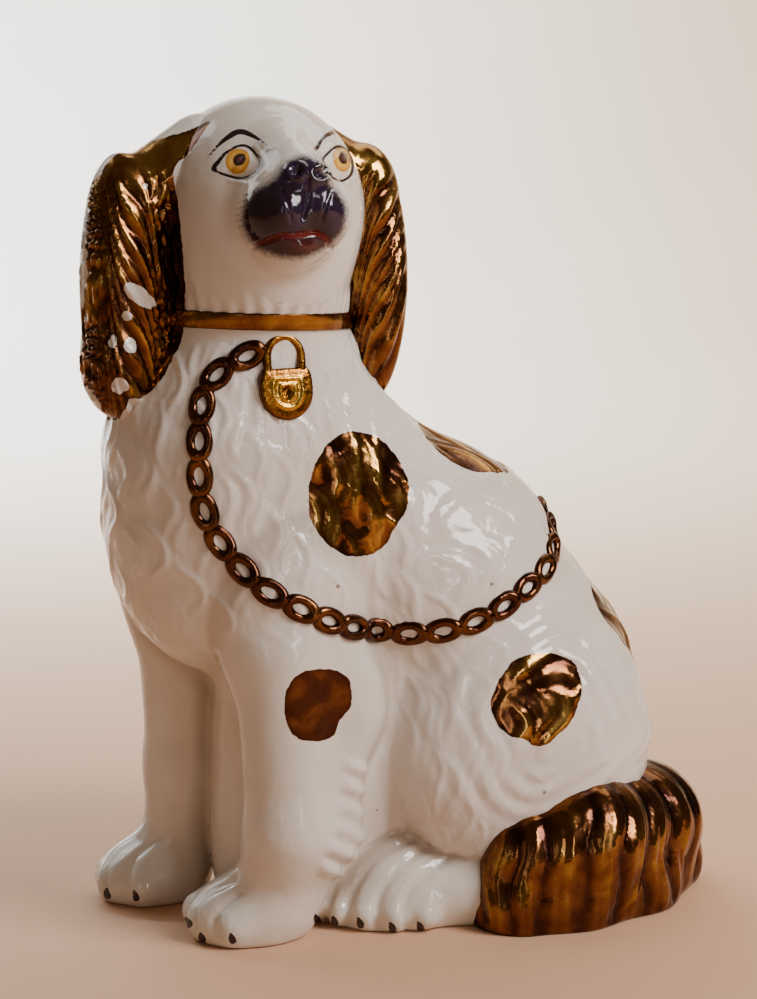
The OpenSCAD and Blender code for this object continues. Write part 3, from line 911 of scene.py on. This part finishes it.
def finer(p, quads, parts):
    """Each quad as a grid of smaller ones, sharing points along their edges."""
    t = np.linspace(0, 1, parts + 1)
    u, v = (g.reshape(-1, 1) for g in np.meshgrid(t, t, indexing="ij"))
    a, b, c, d = (p[quads[:, i]][:, None].astype(float) for i in range(4))
    points = (a * (1 - u) * (1 - v) + b * u * (1 - v) + c * u * v + d * (1 - u) * v).reshape(-1, 3)
    _, first, back = np.unique(np.round(points, 3), axis=0, return_index=True,
                               return_inverse=True)
    back = back.reshape(len(quads), parts + 1, parts + 1)
    small = np.stack([back[:, :-1, :-1], back[:, 1:, :-1], back[:, 1:, 1:], back[:, :-1, 1:]], -1)
    return points[first].astype(np.float32), small.reshape(-1, 4)


def make_ware(glaze, clay):
    cell = 1.25
    p, quads = carve(ware, (-106, -72, -3), (112, 72, 297), cell)
    n = slope(ware, p)
    height = hair(p)
    lift = height + pleats(p, n, sheet(p))
    labels = part_labels(p, quads)
    out = lift_off(p, lift, n)
    normals = vertex_normals(out, quads)
    smooth_head = ramp(p[:, 2], 231, 234)[:, None]
    normals = normals * (1 - smooth_head) + n * smooth_head
    layers = paint(p, n, lift)
    for k, (name, node) in enumerate(PIECES.items()):
        wall = 0.0 if name in LUTED else WALL
        material, slot = (clay, "bare_foot") if k == SLAB else (glaze, "white_glaze")
        if k != FACE:
            build(name, out, quads[labels == k], normals, material, layers, [node], slot, wall)

    fp, fq = finer(p, quads[labels == FACE], 3)
    inner = ramp(in_face(fp), 0.94, 0.86)
    fp = fp + (settle(ware, fp, 2) - fp) * inner[:, None]
    fn = slope(ware, fp)
    lift = face_relief(sheet(fp)) * inner * (fn @ AWAY > 0)
    out = lift_off(fp, lift, fn)
    normals = vertex_normals(out, fq) * inner[:, None] + fn * (1 - inner[:, None])
    layers = paint(fp, fn, np.maximum(lift, 0.4))
    build("face", out, fq, normals, glaze, layers, [PIECES["face"]], "white_glaze", WALL)


# ---- ears and tail
PAINTED = -9.0  # the "spot" layer, well inside a lustred patch


def lustred(name, p, quads, height, material, bare=PAINTED, slot="copper_lustre"):
    """A lustred piece that takes the place of the CAD node of its own name."""
    layers = {"height": height, "spot": bare + np.zeros(len(p))}
    build(name, p, quads, vertex_normals(p, quads), material, layers, [name], slot)


def ear_ridges(p, n, middle, turn):
    """Twisted locks: upright at an ear's edges, slanting inwards down its middle."""
    q = sheet(p)
    z = p[:, 2].astype(float)
    du = turn * (q[:, 0] - middle)
    t = (q[:, 1] + 1.1 * du + 0.02 * du ** 3 + 2.2 * np.sin(q[:, 1] / 9 + du / 5)) / 10.5
    lock = np.round(t)
    fine = wave(3 * t + 0.1432 * np.sin(du / 2.2))
    ridge = wave(t) ** 0.6 * (0.84 + 0.16 * np.sin(du / 4 + 2.2 * lock)) * (0.86 + 0.14 * fine)
    fade = ramp(z, 182, 190) * ramp(z, 272, 260) * ramp(n @ AWAY, -0.1, 0.3)
    return 1 - (1 - ridge) * fade


def worn_places(q):
    """Depth inside the bare places of the right ear, in millimetres."""
    worn = np.full(len(q), -9.0)
    for at, radii in WORN:
        tilt = 0.6 if radii[0] > 4 else 0.0
        along, over = math.cos(tilt), math.sin(tilt)
        d = (q - at) @ [[along, over], [-over, along]]
        worn = np.maximum(worn, (1 - length(d / radii)) * min(radii))
    return worn


def make_ear(name, masses, low, high, middle, turn, material):
    def field(p):
        return np.maximum(group(p, masses, 5), -1.5 - body(p))
    p, quads = carve(field, low, high, 1.1)
    n = slope(field, p)
    ridge = ear_ridges(p, n, middle, turn)
    out = lift_off(p, 2.2 * (ridge - 0.85), n)
    bare = np.full(len(p), PAINTED)
    if name == "right_ear":
        q = sheet(p)
        bare = np.maximum(outline(q, EAR_LUSTRE), 12 * (-0.1 - n @ AWAY))
        bare = np.maximum(bare, worn_places(q))
    lustred(name, out, quads, ridge, material, bare)


TAIL_ROUTE = smooth([
    (-2, -50), (28, -56), (57, -62), (84, -54), (104, -38), (121, -10)], False, 12)
# Where the grooves between the tail's locks cross that route, along it
TAIL_GROOVES = [-8, 5, 16, 26, 37, 52, 63, 76, 90, 103, 117, 131, 146, 162]


def make_tail(material):
    def field(p):
        f = np.maximum(group(p, TAIL, 5), -3 - body(p))
        return -blend(-f, p[:, 2], 1.2)
    p, quads = carve(field, (-4, -78, -3), (128, 10, 52), 1.1)
    n = slope(field, p)
    run = run_along(TAIL_ROUTE)
    away = np.full(len(p), 1e9)
    along = np.zeros(len(p))
    for i in range(len(TAIL_ROUTE) - 1):
        d, t = near_line(p[:, :2].astype(float), TAIL_ROUTE[i], TAIL_ROUTE[i + 1])
        closer = d < away
        away = np.where(closer, d, away)
        along = np.where(closer, run[i] + t * (run[i + 1] - run[i]), along)
    z = p[:, 2].astype(float)
    lean = 4 * ramp(z, 18, 44) + 1.3 * np.sin(z / 5.5 + along / 11)
    t = np.interp(along - lean, TAIL_GROOVES, np.arange(len(TAIL_GROOVES)))
    fine = wave(3 * t + 0.2546 * np.sin(z / 5 + along / 11) + 0.1592)
    ridge = wave(t + 0.5) ** 0.4 * (0.78 + 0.22 * fine)
    lift = 2.2 * (ridge - 0.85) * ramp(z, 0, 5) * (1 - 0.7 * ramp(n[:, 2], 0.35, 0.85))
    # painted shade: the lustre is painted darker on upward faces, darker towards the bottom and darkest
    # at the foot; raised ridges are painted lighter
    shaded_tone = ridge - 0.4 * ramp(n[:, 2], 0.1, 0.7) - 0.2 * ramp(z, 36, 14) - 0.3 * ramp(z, 10, 1)
    lustred("tail", lift_off(p, lift, n), quads, shaded_tone, material)


# ---- collar, padlock and chain
def ring_mesh(sections):
    """Points and quads of a hoop from its section at each step."""
    n, k = sections.shape[:2]
    i, j = (g.ravel() for g in np.meshgrid(np.arange(n), np.arange(k), indexing="ij"))
    quads = np.stack([i * k + j, i * k + (j + 1) % k, ((i + 1) % n) * k + (j + 1) % k,
                      ((i + 1) % n) * k + j], 1)
    return sections.reshape(-1, 3).astype(np.float32), quads


def neck_skin(angle, z):
    """Points of the skin straight out from the neck's axis."""
    out = np.stack([np.cos(angle), np.sin(angle), np.zeros_like(angle)], 1)
    base = np.stack([np.interp(z, *SPINE), np.full_like(z, 3), z], 1)
    r = np.full(len(angle), 70.0)
    for _ in range(40):
        r = r - 0.8 * body((base + r[:, None] * out).astype(np.float32))
    return base + r[:, None] * out, out


COLLAR_Z, COLLAR_W, COLLAR_RISE = 216, 6, 2


def make_collar(material):
    angle = turns(240)
    z = COLLAR_Z - COLLAR_RISE * (np.sin(angle) + np.cos(angle))
    # painted highlight and shade: the brightness column paints the collar's crown lighter and its edges
    # darker
    profile = [  # share of the width, height off the skin, brightness
        (-0.5, -0.6, -0.24), (-0.5, 0.5, -0.16), (-0.42, 1.25, 0.56), (0, 1.55, 0.8),
        (0.42, 1.25, 0.56), (0.5, 0.5, -0.16), (0.5, -0.6, -0.24),
    ]
    rows = []
    for up, off, _ in profile:
        at, out = neck_skin(angle, z + up * COLLAR_W)
        rows.append(at + off * out)
    p, quads = ring_mesh(np.stack(rows, 1))
    height = np.tile([bright for *_, bright in profile], len(angle))
    lustred("collar_band", p, quads, height, material)


CHAIN_LINE = smooth([
    (-58, -33.5, 210.5), (-76, -28, 198), (-81, -31, 176), (-79, -33, 152), (-66, -40, 132),
    (-48, -46, 120), (-26, -40, 111), (-3, -39, 107), (17, -46, 111), (37, -43, 120), (52, -34, 128),
    (60, -16, 138), (60, 12, 140)], False, 12)
LINK_PITCH, LINK_L, LINK_W, STRAND = 12.0, 13.8, 9.7, 3.5


def frame_on(field, at, along):
    """Unit axes on the skin: along, across and out."""
    out = slope(field, at)
    out[1:-1] = out[:-2] + out[1:-1] + out[2:]
    out = unit(out)
    across = unit(np.cross(out, along))
    return np.cross(across, out), across, out


def lay(p, rounds=6):
    """Moves points onto the skin mostly along the line of sight, so that their spacing holds."""
    for _ in range(rounds):
        n = slope(ware, p)
        way = unit(n + 2 * AWAY)
        p = lift_off(p, -ware(p) / (n * way).sum(1), way)
    return p


def tube(middle, across, out, around):
    """Rings of points round a line, from its two half thicknesses."""
    around = around[:, None]
    return middle[:, None] + np.cos(around) * across[:, None] + np.sin(around) * out[:, None]


def joined(parts):
    """One mesh from several parts of points, quads and lustre heights."""
    points, quads, height = zip(*parts)
    starts = np.cumsum([0] + [len(p) for p in points])
    quads = [q + start for q, start in zip(quads, starts)]
    return [np.concatenate(part) for part in (points, quads, height)]


def make_chain(material):
    path, run = lay(CHAIN_LINE.astype(np.float32)), run_along(CHAIN_LINE)
    count = int((run[-1] - LINK_L / 2) / LINK_PITCH)
    stops = LINK_L / 2 + LINK_PITCH * np.arange(count)
    at, ahead = (np.stack([np.interp(s, run, path[:, k]) for k in range(3)], 1).astype(np.float32)
                 for s in (stops, stops + 2))
    ahead = ahead - at
    at = lay(at)
    along, across, _ = frame_on(ware, at, ahead)
    turn, around = turns(28), turns(10)
    long, wide = (LINK_L - STRAND) / 2 * np.cos(turn), (LINK_W - STRAND) / 2 * np.sin(turn)
    fat = STRAND / 2 * (1 + 0.12 * np.cos(2 * turn))[:, None]
    links = []
    for i in range(count):
        flat = at[i] + long[:, None] * along[i] + wide[:, None] * across[i]
        flat = lay(flat.astype(np.float32), 3)
        n = slope(ware, flat)
        # each link rides over the next at its far end
        over = 0.45 + 0.7 * ramp(np.cos(turn), 0.2, 1) + 0.1 * np.sin(turn * 2 + i)
        middle = flat + over[:, None] * n
        go = unit(np.roll(middle, -1, 0) - np.roll(middle, 1, 0))
        p, quads = ring_mesh(tube(middle, 1.08 * fat * np.cross(go, n), fat * n, around))
        # painted highlight and shade: each strand is painted lighter on its outer side and darker
        # underneath
        links.append((p, quads[:, ::-1], np.tile(0.05 + 0.45 * np.sin(around), len(turn))))
    lustred("chain", *joined(links), material)


LOCK_AT, LOCK_W, LOCK_T = (-51, -35, 194.5), 19.4, 2.8
LOCK_FLAT = 8.0  # height of the flat top over the middle
BOW_R, BOW_WIRE, BOW_LEGS = 6.3, 1.55, 3.6


def lock_body():
    """Round below, squarer above, cut flat under the bow, with a keyhole in a raised ring."""
    rings, steps = 26, 96
    t = turns(steps)
    square = 2 + 1.6 * (np.sin(t) > 0)
    reach = (np.abs(np.cos(t)) ** square + np.abs(np.sin(t)) ** square) ** (-1 / square)
    reach = np.minimum(LOCK_W / 2 * reach, LOCK_FLAT / np.maximum(np.sin(t), 0.01))
    share = np.concatenate([[1, 1], np.linspace(0.98, 0.04, rings - 2)])[:, None]
    x, y = reach * share * np.cos(t), reach * share * np.sin(t)
    rise = LOCK_T * (0.62 + 0.38 * np.sqrt(1 - share ** 6))
    rise += 0.45 * bump(share - 0.56, 0.07) + 0.5 * bump(share - 0.28, 0.08)
    rise[:2] = [-0.8], [0.55 * LOCK_T]      # the edge, sunk into the glaze
    slit = bump(x, 0.7) * ramp(y, 1, 0) * ramp(y, -3.4, -2.4)
    key = np.maximum(bump(np.hypot(x, y - 0.6), 1.3), slit)
    # painted highlight and shade: the raised rings are painted lighter, the sunk rim and the keyhole
    # darker
    height = np.where(share > 0.97, -0.3, 0.15) + 0.6 * (rise > LOCK_T) - 0.6 * key
    p, quads = ring_mesh(np.stack([x, y, rise - key * (share < 1)], -1))
    return p, quads[:-steps], height.ravel()


def lock_bow():
    """A half hoop of wire with its two legs."""
    s, leg, side = np.linspace(0, np.pi, 41)[1:-1], np.linspace(-1, BOW_LEGS, 6), np.full(6, BOW_R)
    x = np.concatenate([side, BOW_R * np.cos(s), -side])
    y = np.concatenate([leg, BOW_LEGS + BOW_R * 1.1 * np.sin(s), leg[::-1]]) + LOCK_FLAT
    centre = np.stack([x, y, np.full(len(x), 1.1)], 1)
    go, out, around = unit(np.gradient(centre, axis=0)), np.array([[0, 0, 1.0]]), turns(12)
    p, quads = ring_mesh(tube(centre, BOW_WIRE * np.cross(go, out), BOW_WIRE * out, around))
    # painted highlight and shade: the wire is painted lighter on its outer side and darker underneath
    return p, quads[:-len(around), ::-1], np.tile(-0.1 + 0.4 * np.sin(around), len(x))


def make_padlock(material):
    at = settle(ware, np.float32([LOCK_AT]), 4)
    axes = np.concatenate(frame_on(ware, at, np.float32([[1, 0, 0]])))
    p, quads, height = joined([lock_body(), lock_bow()])
    p = (at + p @ axes).astype(np.float32)
    lustred("padlock", p, quads, height, material, slot="gold_lustre")


# ---- studio
def row(p):
    return Vector((np.array(p, float) + TO_MIDDLE) * MM)


def make_studio():
    m = Finish("studio_paper")
    across, depth, height = m.axes()
    # painted light and shade: the paper is painted darker and warmer on the floor near the figure,
    # lighter up the sweep, and warmer towards the right
    far = m.range(m.sum("ADD", depth, height), 0.1, 1.3)
    wall = m.mix(m.range(across, -0.5, 0.8), (0.92, 0.85, 0.76), (0.94, 0.69, 0.43))
    m.colour = m.mix(far, (0.66, 0.38, 0.22), wall)
    m.cover(m.range(m.noise(3, 2), 0.3, 0.7, 0.0, 0.12), (0.60, 0.46, 0.34))
    m.set(Base_Color=m.colour, Roughness=0.7)
    width, front, back, bend, top = 5.0, -1.6, 2.1, 1.0, 2.6
    line = [(front, 0.0), (back - bend, 0.0)]
    line += [(back - bend + bend * math.sin(a), bend - bend * math.cos(a))
             for a in (math.pi / 2 * k / 24 for k in range(1, 25))]
    line.append((back, top))
    points = [(x * width / 2, y, z) for y, z in line for x in (-1, 1)]
    faces = [(2 * i, 2 * i + 1, 2 * i + 3, 2 * i + 2) for i in range(len(line) - 1)]
    mesh = bpy.data.meshes.new("studio_sweep")
    mesh.from_pydata(points, [], faces)
    mesh.polygons.foreach_set("use_smooth", [True] * len(faces))
    mesh.materials.append(m.material)
    sweep = linked("studio_sweep", mesh)
    sweep.rotation_euler = (0, 0, VIEW_AZ)


def seen_from(az, el, distance):
    """A place round the figure; az is measured from the viewer, + to the right."""
    way = towards(VIEW_AZ + math.radians(az), math.radians(el))
    return row(AIM) + Vector(way) * distance


def stand(name, data, at, way):
    """Puts a light or the camera in its place, looking along `way`."""
    thing = linked(name, data)
    thing.location = at
    thing.rotation_mode = "QUATERNION"
    thing.rotation_quaternion = way.to_track_quat("-Z", "Y")
    return thing


LIGHTS = {  # where from, size, watts, colour
    "key": ((62, 36, 1.5), (0.6, 0.75), 26, (1.0, 0.95, 0.95)),
    "window_right": ((30, 12, 1.7), (0.10, 0.9), 2.4, (1.0, 0.97, 0.95)),
    "window_left": ((-20, 10, 1.7), (0.06, 0.9), 0.8, (0.95, 0.97, 1.0)),
    "rear": ((150, 50, 1.4), (0.9, 0.6), 4, (1.0, 0.94, 0.86)),
    "rim": ((-125, 35, 1.3), (0.4, 0.8), 3, (0.96, 0.97, 1.0)),
    "backdrop": ((-150, 35, 1.35), (0.9, 0.6), 50, (0.84, 0.92, 1.0)),
}


def make_lights():
    for name, (source, size, power, colour) in LIGHTS.items():
        data = bpy.data.lights.new(name, "AREA")
        data.shape, (data.size, data.size_y) = "RECTANGLE", size
        data.energy, data.color = power, colour
        at = seen_from(*source)
        aim = seen_from(-164, 0, 1.6) if name == "backdrop" else row(AIM)
        stand(name, data, at, aim - at)
    world = bpy.data.worlds.new("studio")
    world.use_nodes = True
    colour, strength = world.node_tree.nodes["Background"].inputs[:2]
    colour.default_value, strength.default_value = (1.0, 0.74, 0.53, 1), 0.14
    bpy.context.scene.world = world


def make_camera():
    data = bpy.data.cameras.new("viewer")
    data.sensor_fit, data.sensor_height = "VERTICAL", 36
    data.lens = 36 * VIEW_D / FRAME_TALL
    data.clip_start = 0.01
    bpy.context.scene.camera = stand("viewer", data, row(EYE), Vector(-AWAY))


glaze, copper = white_glaze(), copper_lustre()
make_ware(glaze, bare_foot())
make_ear("right_ear", RIGHT_EAR, (-118, -22, 180), (-45, 24, 293), -88.5, 1, copper)
make_ear("left_ear", LEFT_EAR, (-44, -26, 180), (14, 20, 290), 1.5, -1, copper)
make_tail(copper)
make_collar(copper)
make_chain(copper_lustre("chain_lustre", -0.28))
make_padlock(gold_lustre())
make_studio()
make_lights()
make_camera()
